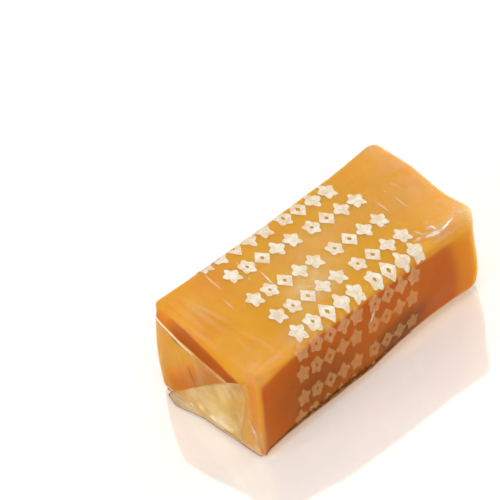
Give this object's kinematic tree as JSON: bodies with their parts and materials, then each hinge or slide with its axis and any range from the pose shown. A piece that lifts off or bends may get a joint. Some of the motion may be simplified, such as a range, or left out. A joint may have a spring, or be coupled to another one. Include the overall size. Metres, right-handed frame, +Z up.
{
  "type": "wrapped caramel candy",
  "caption": "Soft caramel bar sealed in a clear printed film wrapper with folded ends, lying on its flat underside.",
  "frame": {"origin": "centre of the bounding box in plan, on the plane of the flat underside", "axes": "+X along the bar, away from the end with the loose ear; +Y away from the long side that was shown; +Z up out of the printed top"},
  "size_m": [0.035, 0.017, 0.0134],
  "materials": {
    "wrapped_caramel": "gloss",
    "caramel": "satin",
    "film": "gloss",
    "print": "matte"
  },
  "bodies": {
    "root": {"wrapped_caramel": "wrapped_caramel"}
  },
  "joints": []
}
